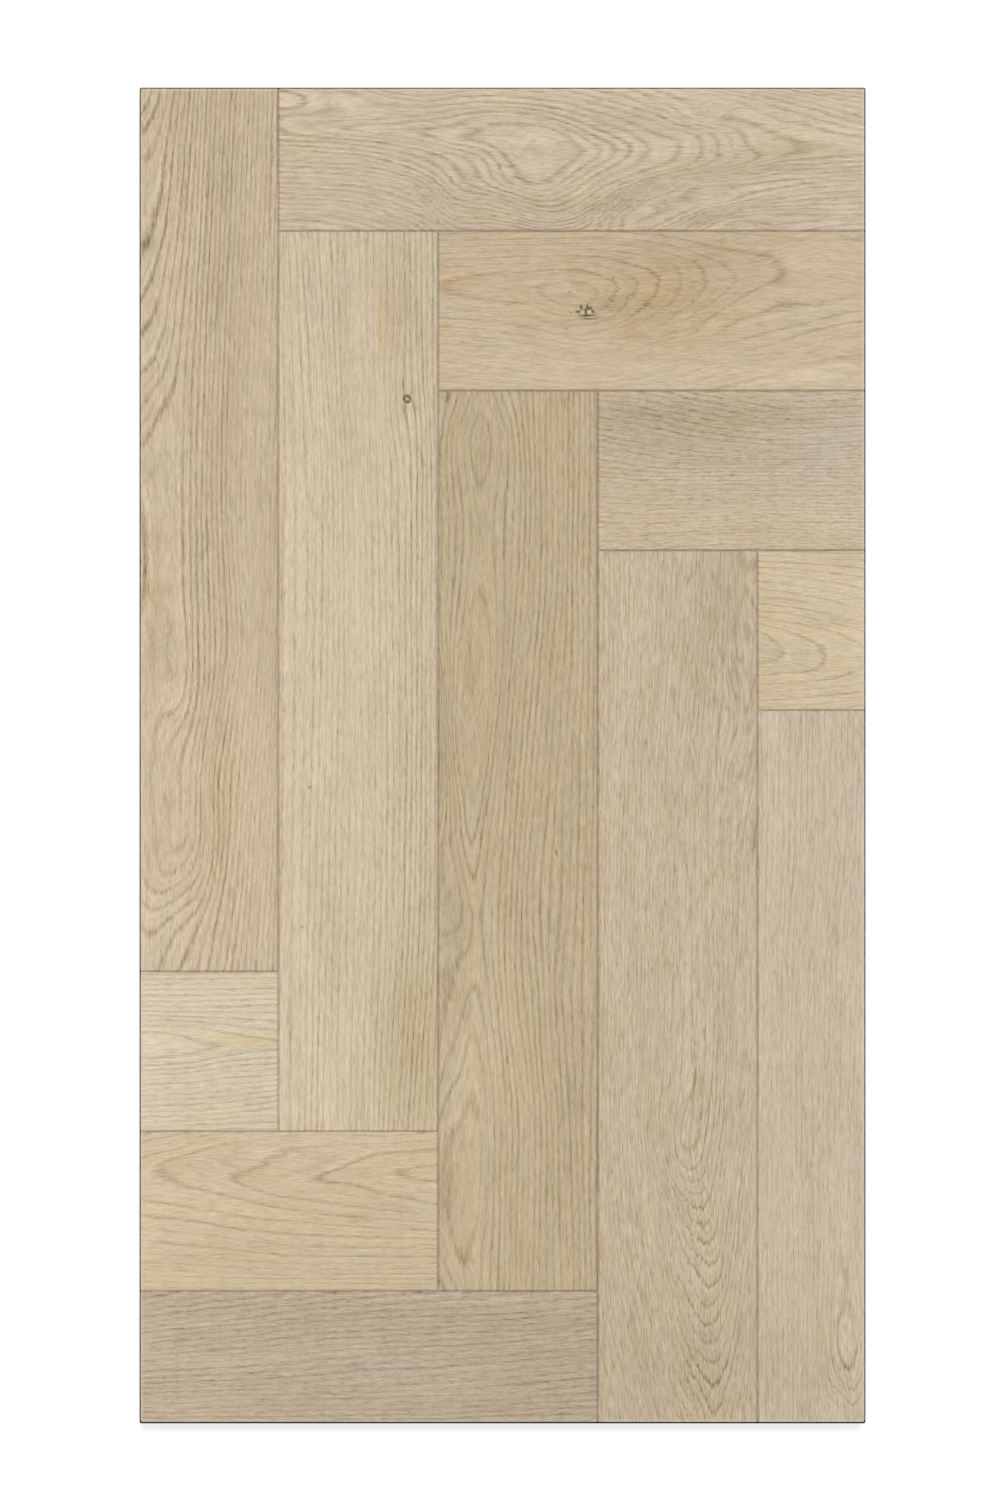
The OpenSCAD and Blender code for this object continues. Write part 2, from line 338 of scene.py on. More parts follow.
            (-3, 160, 26, 190, 24, 215, 20.5, 235, 17.5, 255, 17, 275, 19.5, 292, 24, 305, 29.5, 316, 34.5,
             325, 41),
            (3, 160, 31, 185, 34, 200, 37, 215, 41, 228, 45, 237, 50, 241, 58, 247, 65, 258, 70, 272, 74,
             285, 74, 295, 68, 303, 62, 315, 55, 322, 50, 326, 45),
            (-4, 140, 22, 170, 21, 200, 18, 230, 14, 255, 14, 275, 16, 295, 21, 310, 27, 322, 31, 331, 36,
             335, 41),
            (4, 130, 32, 170, 35.5, 200, 41, 212, 44.5, 222, 48, 229, 53, 233, 60, 241, 67, 255, 72, 270,
             77, 285, 77, 297, 72, 307, 66, 318, 58, 328, 52, 335, 45),
            (-5, 200, 14, 230, 10, 260, 11, 285, 14, 305, 19, 322, 25, 336, 31, 345, 36, 350, 41),
            (5, 100, 32, 150, 35.5, 180, 40, 200, 45, 210, 49, 218, 54, 221, 61, 230, 68, 240, 71, 255, 75,
             270, 80, 288, 81, 300, 76, 312, 68, 322, 61, 335, 56, 345, 51, 350, 46),
            (-6, 200, 10, 230, 6, 265, 7, 290, 10.5, 312, 16, 330, 22, 347, 28, 360, 34, 369, 40),
            (6, 96, 36, 150, 39, 180, 44.5, 200, 50, 208, 56, 213, 62, 220, 68, 230, 72, 245, 74, 260, 79,
             275, 84, 290, 84, 302, 80, 315, 71, 328, 63, 345, 58, 362, 50, 370, 43),
            (-7, 170, 4, 200, 6, 230, 2, 270, 3, 300, 8, 322, 14, 342, 20, 360, 26, 378, 31, 388, 36, 390,
             42),
            (7, 96, 39.5, 150, 43, 180, 49, 198, 56, 207, 63, 214, 69, 221, 76, 232, 76, 245, 78, 258, 83,
             275, 88, 292, 88, 305, 82, 318, 74, 330, 67, 350, 61, 370, 55, 385, 50, 389, 46),
            (-9, 330, 5, 350, 12, 362, 18, 378, 25, 395, 29, 405, 34, 409, 41),
            (-11, 355, 2, 375, 9, 392, 15, 410, 21, 430, 29, 448, 36, 458, 40),
            (-13, 390, 2, 420, 8, 450, 17, 480, 26, 500, 30),
            (-16, 430, 1, 460, 7, 500, 16),
            (-19, 470, 1, 500, 5),
            (10, 96, 50, 150, 53, 180, 60, 195, 66, 205, 73, 214, 81, 222, 86, 240, 87, 260, 91, 280, 95,
             300, 92, 315, 84, 330, 75, 350, 67, 380, 60, 420, 52.5, 425, 49),
            (12, 500, 46, 450, 50, 400, 58, 370, 63, 350, 70, 330, 80, 315, 90, 306, 98),
            (16, 500, 60, 450, 63, 400, 70, 370, 78, 350, 88, 340, 98),
            (20, 500, 75, 450, 78, 400, 85, 375, 95),
            (24, 500, 90, 450, 93, 420, 98),
            (14, 96, 65, 140, 67, 170, 72, 190, 81, 205, 91, 212, 98),
            (17, 96, 76, 140, 78, 165, 84, 185, 92, 195, 98),
            (21, 96, 91, 130, 93, 150, 98),
            (-5, 96, 20, 130, 17.5, 150, 15, 165, 10, 150, 5, 120, 2),
            (-6, 96, 16, 110, 13, 117, 9, 110, 5, 98, 2),
            (-4.6, 130, 10, 150, 10),
        ],
    },
    "crosswise_block_2": {
        "outline": (205.5, 99, 500, 209), "seed": 3, "tone": (186, 166, 135), "pitch": 4.2, "jag": 1.3,
        "line": 0.65, "contrast": 0.45,
        "depth": [
            (205, 2.1), (240, 1.6), (276, 1), (290, 0.6), (305, 0.6), (319, 1), (331, 2), (341, 3),
            (353, 4), (375, 5), (394, 6), (403, 7), (444, 8), (500, 9),
        ],
        "shade": [
            ((360, 145), (40, 22), 0.012), ((360, 145), (40, 22), 0.018), ((400, 116), (60, 14), 0.014),
            ((390, 128), (90, 26), 0.03), ((330, 198), (170, 13), -0.036), ((470, 200), (40, 14), -0.02),
            ((345, 150), (70, 24), 0.028), ((470, 150), (40, 60), -0.022), ((442, 133), (7, 4), 0.06),
            ((310, 175), (26, 8), -0.03), ((305, 155), (1.2, 1.1), -0.1),
            ((309.6, 154.8), (1.6, 1.2), -0.1), ((318, 149), (8, 7), 0.03), ((215, 135), (10, 6), 0.015),
            ((340, 170), (8, 4), 0.06),
        ],
        "warm": [((350, 145), (50, 24), 0.02), ((215, 135), (10, 6), 0.03), ((340, 170), (8, 4), 0.03)],
        "calm": [((330, 184), (110, 17), 0.75), ((340, 135), (70, 26), -0.7)],
        "dashes": [
            ((304.1, 151.4), 0.8, 1.6, 0, 0.7), ((301.9, 154.5), 1.6, 0.7, 5, 0.8),
            ((307.4, 154.6), 0.7, 2.4, 0, 0.8), ((306.3, 153.1), 1.2, 0.5, 40, 0.4),
            ((308.4, 150.9), 0.65, 1.3, 0, 0.75), ((309.7, 152.2), 1.6, 0.7, 0, 0.8),
            ((311, 151.4), 0.5, 0.9, 20, 0.4), ((312.2, 154.4), 1.2, 0.8, 40, 0.85),
            ((308, 157), 5.2, 0.65, 0, 0.7), ((309, 159.3), 4.5, 0.6, 2, 0.42),
            ((315, 158.6), 2.2, 0.45, -5, 0.26), ((297, 155.1), 1.3, 0.45, 30, 0.3),
            ((296.3, 141), 0.8, 0.6, 0, 0.34), ((294, 165.8), 1.0, 0.6, 0, 0.3),
            ((336, 145), 0.8, 0.8, 0, 0.3), ((326, 131), 0.8, 0.8, 0, 0.26), ((350, 125), 0.8, 0.8, 0, 0.28),
        ],
        "lines": [
            (-1, 276, 140, 283, 135, 295, 132, 308, 134, 316, 138, 319, 141),
            (1, 277, 142, 283, 145, 292, 149, 302, 150, 312, 148, 319, 142),
            (-2, 208, 136, 225, 131, 240, 128, 262, 127, 285, 126, 305, 127, 320, 130, 330, 137),
            (2, 208, 141, 225, 143, 240, 146, 260, 149, 280, 152, 300, 157, 316, 156, 326, 149, 331, 141),
            (-3, 205, 124, 250, 122, 300, 121, 320, 124, 335, 128, 341, 133),
            (3, 205, 152, 250, 156, 290, 163, 315, 162, 330, 154, 338, 146, 341, 138),
            (-4, 205, 119, 300, 116, 325, 119, 343, 124, 353, 132),
            (4, 205, 158, 250, 162, 290, 170, 318, 168, 335, 159, 348, 148, 353, 138),
            (-5, 205, 114, 300, 111, 330, 113, 352, 117, 368, 123, 375, 130),
            (5, 205, 164, 260, 169, 300, 177, 325, 173, 345, 162, 358, 152, 368, 144, 374, 136),
            (-6, 205, 110, 300, 107.5, 340, 109, 365, 114, 382, 120, 392, 127, 394, 133),
            (6, 205, 170, 260, 175, 300, 183, 330, 179, 352, 168, 370, 157, 383, 148, 392, 140, 394, 135),
            (-7, 205, 106, 300, 104, 345, 106, 372, 112, 390, 118, 401, 124, 403, 130),
            (7, 205, 176, 260, 181, 300, 189, 335, 184, 362, 170, 380, 158, 392, 149, 400, 140, 403, 133),
            (-8, 205, 101, 300, 99.5, 340, 100, 370, 104, 400, 110, 425, 115, 440, 121, 444, 127),
            (8, 205, 182, 260, 186, 300, 194, 340, 190, 370, 176, 392, 160, 405, 148, 420, 140, 436, 135,
             443, 130),
            (-9, 400, 100, 440, 103, 470, 105, 500, 105),
            (9, 205, 188, 300, 199, 350, 193, 385, 176, 410, 162, 440, 153, 470, 147, 500, 142),
            (11, 205, 198, 300, 207, 360, 202, 400, 187, 440, 175, 470, 166, 500, 160),
            (13, 400, 207, 440, 196, 470, 188, 500, 182),
        ],
    },
    "crosswise_block_3": {
        "outline": (315.5, 209, 500, 319), "seed": 8, "tone": (185, 168, 141), "pitch": 3.0, "jag": 1.7,
        "waver": 3.0, "line": 0.85, "contrast": 0.54, "pores": 0.16, "fine": 0.07,
        "shade": [
            ((420, 236), (60, 24), 0.018), ((420, 226), (50, 14), 0.04), ((360, 277), (60, 16), -0.022),
            ((482, 304), (30, 16), -0.035), ((345, 235), (50, 30), 0.045), ((480, 262), (36, 40), -0.02),
            ((400, 308), (110, 14), -0.03),
        ],
        "warm": [
            ((340, 300), (40, 16), 0.014), ((445, 305), (60, 10), 0.014), ((470, 245), (40, 40), -0.016),
            ((345, 232), (40, 26), -0.008),
        ],
        "calm": [((350, 225), (50, 16), -0.4), ((420, 290), (90, 20), 0.3)],
        "dashes": [
            ((340, 222), 12, 0.6, 8, 0.09), ((365, 230), 10, 0.6, 9, 0.09),
            ((340, 312.5), 24, 0.55, -3, 0.11), ((352, 307), 30, 0.5, -3, 0.09),
            ((400, 307), 22, 0.5, -3, 0.08),
        ],
        "lines": [
            (-5, 430, 209, 465, 209, 500, 207),
            (-2, 375, 209, 405, 214, 430, 219, 460, 220, 500, 218),
            (1, 316, 211, 340, 213, 365, 219, 400, 226, 430, 231, 460, 232, 500, 230),
            (4, 316, 223, 340, 227, 370, 233, 410, 240, 450, 242, 500, 240),
            (8, 316, 239, 345, 244, 380, 250, 420, 253, 460, 254, 500, 252),
            (12, 316, 256, 350, 260, 380, 262, 420, 262, 460, 262, 500, 262),
            (16, 316, 272, 360, 274, 400, 273, 450, 274, 500, 274),
            (20, 316, 285, 360, 287, 400, 286, 450, 286, 500, 286),
            (25, 316, 303, 350, 303, 400, 300, 450, 299, 500, 300),
            (30, 316, 318, 350, 315, 400, 311, 450, 310, 500, 312),
        ],
    },
    "crosswise_block_4": {
        "outline": (425.5, 319, 500, 429), "seed": 9, "tone": (194, 175, 143), "pitch": 3.8, "across": 12.0,
        "along": 18.0, "line": 0.55, "contrast": 0.55,
        "depth": [(425, 0.5), (441, 1), (473, 2), (500, 3)],
        "shade": [((432, 392), (7, 50), 0.02), ((496, 370), (9, 50), -0.032)],
        "calm": [((450, 385), (24, 16), -0.5)],
        "dashes": [
            ((452, 390), 7, 0.55, 2, 0.09), ((446, 412), 8, 0.55, -2, 0.08), ((470, 361), 9, 0.55, 8, 0.08),
        ],
        "lines": [
            (-1, 425, 374, 434, 379, 440, 385),
            (1, 441, 389, 436, 394, 425, 396),
            (-2, 433, 371, 450, 376, 463, 382, 472, 389),
            (2, 474, 395, 466, 401, 450, 403, 425, 405),
            (-3, 425, 364, 438, 366, 460, 371, 480, 376, 494, 382, 499, 387),
            (3, 499, 399, 480, 406, 450, 409, 425, 411),
            (-4, 425, 360, 450, 363, 475, 368, 500, 375),
            (-5, 425, 355, 450, 358, 475, 363, 500, 369),
            (-7, 425, 345, 450, 348, 475, 353, 500, 359),
            (-9, 425, 335, 460, 338, 500, 345),
            (-12, 425, 322, 500, 326),
            (4, 425, 417, 460, 415, 500, 410),
            (6, 425, 427, 460, 425, 500, 421),
        ],
    },
    "crosswise_block_5": {
        "outline": (0, 609, 95.5, 719), "seed": 10, "tone": (201, 186, 159), "pitch": 4.0, "across": 12.0,
        "along": 18.0, "line": 0.8, "contrast": 0.58,
        "depth": [(0, 0.3), (30, 0.7), (52, 1), (95, 1.9)],
        "shade": [((5, 664), (12, 50), -0.03), ((82, 692), (20, 22), 0.02), ((70, 656), (20, 5), 0.036)],
        "warm": [((70, 656), (20, 5), 0.045)],
        "lines": [
            (-1, 0, 650, 20, 651, 35, 654.5, 51, 658),
            (1, 0, 669, 28, 667, 43, 664.5, 51, 660.5),
            (-2, 0, 646, 30, 647, 60, 651, 80, 654, 95, 657),
            (2, 0, 673, 30, 671, 55, 667, 75, 664, 95, 662),
            (-4, 0, 639, 40, 640, 95, 643),
            (-8, 0, 625, 50, 625, 95, 624),
            (-12, 0, 611, 95, 610),
            (4, 0, 680, 40, 678, 60, 674, 95, 672),
            (8, 0, 694, 40, 692, 95, 687),
            (12, 0, 709, 50, 707, 95, 702),
            (14, 0, 716, 95, 712),
        ],
    },
    "crosswise_block_6": {
        "outline": (0, 719, 205.5, 829), "seed": 11, "tone": (193, 173, 141), "pitch": 4.2, "across": 12.0,
        "along": 20.0, "line": 0.65, "contrast": 0.55,
        "depth": [(0, 4.4), (15, 4), (65, 3), (125, 2), (181, 1), (205, 0.7)],
        "shade": [
            ((50, 795), (12, 5), -0.02), ((7, 775), (14, 50), -0.027), ((170, 757), (40, 12), 0.012),
            ((30, 770), (40, 50), -0.018), ((50, 795), (9, 4), 0.024),
        ],
        "warm": [((50, 795), (9, 4), 0.02)],
        "calm": [((110, 745), (90, 14), -0.5)],
        "lines": [
            (-3, 66, 750, 75, 746, 83, 743, 90, 740, 98, 734, 110, 731, 140, 728, 175, 727, 205, 724),
            (3, 66, 753, 75, 756, 83, 760, 95, 763, 110, 765, 125, 767, 140, 769, 165, 772, 205, 776),
            (-2, 126, 750, 138, 745, 145, 741, 152, 738, 165, 735, 180, 733, 205, 731),
            (2, 126, 752, 145, 755, 160, 759, 175, 763, 190, 766, 205, 769),
            (-1, 182, 747, 190, 744, 205, 742),
            (1, 182, 749, 190, 751, 205, 753),
            (-4, 16, 741, 28, 737, 38, 733, 50, 729, 62, 727, 100, 722, 140, 721),
            (4, 16, 745, 22, 752, 35, 757, 50, 760, 65, 764, 80, 768, 110, 773, 150, 778, 205, 782),
            (5, 0, 766, 35, 771, 70, 777, 110, 781, 150, 784, 205, 787),
            (6, 0, 776, 30, 779, 60, 784, 90, 788, 120, 790, 205, 793),
            (7, 0, 785, 40, 790, 80, 795, 120, 798, 205, 799),
            (8, 0, 793, 40, 797, 80, 801, 110, 804, 205, 805),
            (9.5, 0, 806, 40, 808, 100, 812, 205, 811),
            (12, 0, 818, 100, 820, 205, 820),
            (14, 0, 827, 205, 828),
            (-5, 0, 738, 20, 732, 40, 727, 60, 722),
            (-6, 0, 731, 30, 725, 50, 720),
            (-8, 0, 722, 10, 719),
        ],
    },
    "crosswise_block_7": {
        "outline": (0, 829, 315.5, 920), "seed": 12, "tone": (177, 160, 136), "pitch": 4.6, "jag": 1.7,
        "waver": 3.0, "line": 0.9, "contrast": 0.6, "pores": 0.15, "fine": 0.075,
        "shade": [
            ((38, 851), (13, 1.5), -0.05), ((66, 848.5), (15, 1.5), -0.05), ((95, 875), (15, 1.6), -0.045),
            ((122, 871.5), (16, 1.6), -0.05), ((150, 868), (15, 1.6), -0.045),
            ((145, 845), (14, 0.9), 0.06), ((178, 842), (16, 0.9), 0.06), ((110, 848.5), (20, 0.9), 0.05),
            ((270, 856), (16, 1.0), 0.05), ((300, 853), (14, 1.0), 0.05), ((240, 837), (16, 1.4), -0.04),
            ((270, 835), (16, 1.4), -0.04), ((56, 862), (14, 1.0), 0.05), ((10, 870), (14, 60), -0.014),
            ((40, 880), (60, 60), -0.022), ((280, 880), (60, 60), 0.022),
        ],
        "warm": [((40, 905), (50, 14), 0.012)],
        "dashes": [
            ((74, 855), 14, 0.55, -4, 0.09), ((150, 880), 16, 0.55, -3, 0.09),
            ((240, 845), 18, 0.55, -3, 0.09),
        ],
        "lines": [
            (-2, 0, 834, 20, 830),
            (0, 0, 842, 35, 838, 70, 834, 100, 830),
            (2, 0, 850, 40, 846, 80, 842, 120, 836, 160, 832, 200, 829),
            (5, 0, 862, 40, 858, 80, 854, 130, 849, 200, 846, 260, 843, 315, 838),
            (8, 0, 873, 40, 870, 90, 866, 140, 861, 200, 858, 260, 856, 315, 850),
            (11, 0, 885, 60, 881, 110, 877, 160, 873, 200, 871, 260, 868, 315, 861),
            (14, 0, 895, 80, 893, 160, 888, 240, 884, 315, 877),
            (17, 0, 906, 160, 902, 240, 899, 315, 893),
            (20, 0, 916, 160, 914, 315, 908),
        ],
    },
}


# ---------------------------------------------------------------- the spline behind the grain

CURVE_STEP = 4.0         # a drawn line is filled in to one point every so many millimetres
DEEP_STEP = 32.0         # spacing of the depth's control points
DEEP_PLACES = 400        # places at which the depth is fitted
DEEP_BENDING = 0.05      # how much the fitted depth resists bending
SIDE_BENDING = 0.02      # how much the fitted side does
DEEP_TRACE = 1e-6        # keeps the depth from having more than one answer
SIDE_TRACE = 1e-7        # and the side
GAP_PLACES = 161         # places each way at which the rings' spacing is fitted
GAP_HOLD = 0.2           # how much the fitted spacing is held back
GAP_RANGE = (1.8, 14)    # least and greatest spacing of the rings
SIDE_NEARNESS = 0.03     # how closely the node curves give the side, in rings
GAP_NEARNESS = 0.35      # and the spacing, in millimetres
CURVES_A_NODE = 3        # a vector curve node draws three curves


def control_points(low, high, step):
    """Evenly spaced control points from one step before low to one after high, and their spacing."""
    spans = max(2, round((high - low) / step))
    spacing = (high - low) / spans
    return [low + (i - 1) * spacing for i in range(spans + 3)], spacing


def bump(t):
    """Six times the cubic B-spline's bump, two spacings wide on either side."""
    far = np.abs(t)
    return np.maximum(2 - far, 0) ** 3 - 4 * np.maximum(1 - far, 0) ** 3


def bumps(place, points, spacing):
    """Each control point's share in the spline at the places, one column a point."""
    return np.stack([bump((place - point) / spacing) / 6 for point in points], -1)


def smooth_curve(drawn):
    """A drawn line's points, filled in along a smooth curve through them."""
    ends = np.vstack([2 * drawn[0] - drawn[1], drawn, 2 * drawn[-1] - drawn[-2]])
    filled = []
    for a, b, c, d in zip(ends, ends[1:], ends[2:], ends[3:]):
        steps = max(1, int(np.hypot(*(c - b)) / CURVE_STEP))
        for t in np.arange(steps) / steps:
            bend = (2 * a - 5 * b + 4 * c - d) * t * t + (3 * b - a - 3 * c + d) * t ** 3
            filled.append((2 * b + (c - a) * t + bend) / 2)
    filled.append(drawn[-1])
    return np.array(filled)


def stiffness(across, along):
    """How much bending the spline has, as a square matrix over its control points."""
    level = np.eye(across), np.eye(along)
    slope = np.diff(level[0], 1, axis=0), np.diff(level[1], 1, axis=0)
    curve = np.diff(level[0], 2, axis=0), np.diff(level[1], 2, axis=0)
    rows = [np.kron(curve[0], level[1]) * 2, np.kron(level[0], curve[1]) * 2, np.kron(slope[0], slope[1])]
    return sum(row.T @ row for row in rows)


class Grain:
    """The ring count over one block: the root of side squared plus depth squared.

    side is the count to the left or right of the heart's line, and depth is how many rings lie
    between the heart and the face, so the rings close in arches where depth changes."""

    def __init__(self, look, lengthwise):
        left, top, right, bottom = look["outline"]
        self.lengthwise = lengthwise
        self.spans = ((left, right), (top, bottom)) if lengthwise else ((top, bottom), (left, right))
        self.across, self.across_step = control_points(*self.spans[0], look["across"])
        self.along, self.along_step = control_points(*self.spans[1], look["along"])
        self.deep, self.deep_step = control_points(*self.spans[1], DEEP_STEP)
        self.depth_weights = self.fit_depth(look["depth"] or [(0, 0), (1, 0)])
        self.side_weights = self.fit_side(look["lines"])
        self.gap_weights = self.fit_gap()

    def fit_depth(self, pairs):
        low, high = self.spans[1]
        place = np.linspace(low - self.deep_step, high + self.deep_step, DEEP_PLACES)
        wanted = np.interp(place, *zip(*pairs))
        rows = bumps(place, self.deep, self.deep_step)
        bend = np.diff(np.eye(len(self.deep)), 2, axis=0)
        square = rows.T @ rows + DEEP_BENDING * bend.T @ bend + DEEP_TRACE * np.eye(len(self.deep))
        return np.linalg.solve(square, rows.T @ wanted)

    def depth(self, along):
        return bumps(along, self.deep, self.deep_step) @ self.depth_weights

    def basis(self, across, along):
        one = bumps(across, self.across, self.across_step)
        other = bumps(along, self.along, self.along_step)
        return (one[:, :, None] * other[:, None, :]).reshape(len(across), -1)

    def fit_side(self, lines):
        rows = []
        wanted = []
        for count, *drawn in lines:
            curve = smooth_curve(np.reshape(np.array(drawn, float), (-1, 2)))
            across, along = curve.T if self.lengthwise else curve.T[::-1]
            rows.append(self.basis(across, along))
            inside = np.maximum(count * count - self.depth(along) ** 2, 0)
            wanted.append(math.copysign(1, count) * np.sqrt(inside))
        rows = np.vstack(rows)
        bend = stiffness(len(self.across), len(self.along)) * SIDE_BENDING ** 2
        square = rows.T @ rows + bend + SIDE_TRACE * np.eye(rows.shape[1])
        weights = np.linalg.solve(square, rows.T @ np.concatenate(wanted))
        return weights.reshape(len(self.across), len(self.along))

    def fit_gap(self):
        """The rings' spacing in millimetres, as a second spline on the same control points."""
        over, down = (np.linspace(*span, GAP_PLACES) for span in self.spans)
        count = np.hypot(self.surface(self.side_weights, over, down), self.depth(down))
        slope = np.hypot(*np.gradient(count, over[1] - over[0], down[1] - down[0]))
        least, greatest = GAP_RANGE
        gap = 1 / np.clip(slope, 1 / greatest, 1 / least)
        one = bumps(over, self.across, self.across_step)
        other = bumps(down, self.along, self.along_step)
        near = np.linalg.solve(one.T @ one + GAP_HOLD * np.eye(one.shape[1]), one.T @ gap)
        return np.linalg.solve(other.T @ other + GAP_HOLD * np.eye(other.shape[1]), other.T @ near.T).T

    def surface(self, weights, over, down):
        one = bumps(over, self.across, self.across_step)
        return one @ weights @ bumps(down, self.along, self.along_step).T

    def factors(self, weights, nearness):
        """The surface as a short sum of products, each of one curve across and one along."""
        over = np.linspace(*self.spans[0], 3 * len(self.across) + 1)
        down = np.linspace(*self.spans[1], 3 * len(self.along) + 1)
        left, size, right = np.linalg.svd(self.surface(weights, over, down), full_matrices=False)
        kept = CURVES_A_NODE
        while kept < len(size) and size[kept:].sum() > nearness * math.sqrt(len(over) * len(down)):
            kept += CURVES_A_NODE
        root = np.sqrt(size[:kept])
        return padded(left[:, :kept] * root), padded(right[:kept].T * root)

    def depth_curve(self):
        steps = np.linspace(*self.spans[1], 3 * len(self.deep) + 1)
        return padded(self.depth(steps)[:, None])


def padded(columns):
    """The columns, with empty ones added until they fill whole nodes."""
    return np.pad(columns, [(0, 0), (0, -columns.shape[1] % CURVES_A_NODE)])


# ---------------------------------------------------------------- sums in a material's nodes

tree = None


class Value:
    """A number at each point of the surface: one output of the material's nodes."""

    def __init__(self, socket):
        self.socket = socket

    def __add__(self, other):
        return number("ADD", self, other)

    def __sub__(self, other):
        return number("SUBTRACT", self, other)

    def __rsub__(self, other):
        return number("SUBTRACT", other, self)

    def __mul__(self, other):
        return number("MULTIPLY", self, other)

    def __truediv__(self, other):
        return number("DIVIDE", self, other)

    def __neg__(self):
        return number("MULTIPLY", self, -1.0)

    __radd__ = __add__
    __rmul__ = __mul__


def give(socket, given):
    """Links a value to a socket, or writes a plain number or colour on it."""
    if isinstance(given, Value):
        tree.links.new(given.socket, socket)
    elif isinstance(given, (int, float)) and hasattr(socket.default_value, "__len__"):
        socket.default_value = [given] * len(socket.default_value)
    else:
        socket.default_value = given


def number(operation, *given):
    made = tree.nodes.new("ShaderNodeMath")
    made.operation = operation
    for socket, value in zip(made.inputs, given):
        give(socket, value)
    return Value(made.outputs[0])


def vector(operation, *given):
    made = tree.nodes.new("ShaderNodeVectorMath")
    made.operation = operation
    for socket, value in zip(made.inputs, given):
        give(socket, value)
    return Value(made.outputs["Value" if operation == "DOT_PRODUCT" else "Vector"])


def joined(x, y, z):
    made = tree.nodes.new("ShaderNodeCombineXYZ")
    for socket, value in zip(made.inputs, (x, y, z)):
        give(socket, value)
    return Value(made.outputs[0])


def apart(where):
    made = tree.nodes.new("ShaderNodeSeparateXYZ")
    give(made.inputs[0], where)
    return [Value(socket) for socket in made.outputs]


def mixed(under, over, share):
    """Two colours, the second laid over the first by its share."""
    made = tree.nodes.new("ShaderNodeMix")
    made.data_type = "VECTOR"
    give(made.inputs["Factor"], share)
    give(made.inputs[4], under)
    give(made.inputs[5], over)
    return Value(made.outputs[1])


def rise(value, low, high):
    """0 below low and 1 above high, with a soft step between."""
    made = tree.nodes.new("ShaderNodeMapRange")
    made.interpolation_type = "SMOOTHSTEP"
    give(made.inputs["Value"], value)
    give(made.inputs["From Min"], low)
    give(made.inputs["From Max"], high)
    return Value(made.outputs["Result"])


def fall(value, reach=1.0):
    """1 at zero, and fading over a reach on both sides."""
    scaled = value / reach
    return number("EXPONENT", -(scaled * scaled))


def total(values):
    added = 0.0
    for value in values:
        added = value + added
    return added


def noise(name, where, seed):
    """The named noise, from about -1 to 1."""
    cell, turn, detail, roughness = NOISES[name]
    made = tree.nodes.new("ShaderNodeTexNoise")
    made.noise_dimensions = "3D"
    made.normalize = False
    shift = tuple((seed + turn) * step for step in SEED_STEPS)
    give(made.inputs["Vector"], vector("MULTIPLY_ADD", where, tuple(1 / c for c in cell), shift))
    give(made.inputs["Scale"], 1.0)
    give(made.inputs["Detail"], detail)
    give(made.inputs["Roughness"], roughness)
    return Value(made.outputs[0])


def curves(place, span, columns):
    """Smooth curves of one coordinate, each drawn through its column's values."""
    low, high = span
    part = (place - low) / (high - low)
    made = []
    for first in range(0, columns.shape[1], CURVES_A_NODE):
        node = tree.nodes.new("ShaderNodeVectorCurve")
        node.mapping.use_clip = False
        node.mapping.extend = "EXTRAPOLATED"
        for drawn, column in zip(node.mapping.curves, columns.T[first:first + CURVES_A_NODE]):
            steps = np.linspace(0, 1, len(column))
            drawn.points[0].location = (0, column[0])
            drawn.points[1].location = (1, column[-1])
            for x, y in zip(steps[1:-1], column[1:-1]):
                drawn.points.new(x, y)
        node.mapping.update()
        give(node.inputs["Vector"], joined(part, part, part))
        made.append(Value(node.outputs[0]))
    return made


def product_sum(across, along):
    return total(vector("DOT_PRODUCT", a, b) for a, b in zip(across, along))


# ---------------------------------------------------------------- oak

# The noises: cell across the grain, along it and downwards in millimetres, then what is added to the
# block's seed, detail and roughness
NOISES = {
    "long_waver": ((11, 60, 40), 0, 0.0, 0.5),
    "short_waver": ((2.6, 14, 20), 1, 0.0, 0.5),
    "year": ((1 / 3.7, 150, 60), 3, 0.0, 0.5),
    "pores": ((0.58, 4.2, 3), 4, 1.0, 0.5),
    "long_pores": ((0.66, 11, 4), 5, 0.0, 0.5),
    "fine": ((0.72, 8, 5), 6, 1.0, 0.6),
    "streak": ((1.9, 40, 12), 7, 1.0, 0.6),
    "broad": ((12, 110, 50), 8, 2.0, 0.55),
    "warm": ((14, 50, 40), 9, 1.0, 0.5),
    "ragged": ((5, 5, 3), 9, 0.0, 0.5),
    "scuffed": ((2.5, 2.5, 6), 10, 2.0, 0.6),
    "bundle": ((0.85, 30, 6), 11, 0.0, 0.5),
    "sheaf": ((2.4, 60, 12), 12, 0.0, 0.5),
    "warm_specks": ((0.9, 4, 5), 13, 0.0, 0.5),
    "thread": ((1.15, 30, 6), 14, 0.0, 0.5),
    "pieces": ((3.2, 18, 8), 15, 1.0, 0.5),
    "blush": ((2.4, 80, 12), 16, 1.0, 0.6),
}
SEED_STEPS = (7.31, 3.77, 11.93)   # how far one seed lies from the next in the noise

LEAN = 0.55               # how far the rings lean sideways as they go down
FOLLOW = 0.3              # how much the fibres follow the rings
GROWN_ACROSS = 0.15       # threads and streaks follow the rings far more than the fibres do
GROWN_SIDE = 0.85
BUNDLE_SLIP = 2.2         # how far bundles of fibres slip along each other, in millimetres
SHEAF_SLIP = 1.2
LONG_WAVER = 0.4          # how far a ring wavers, in millimetres
SHORT_WAVER = 0.24
LEAST_GAP = 1.2           # least spacing of the rings that is drawn

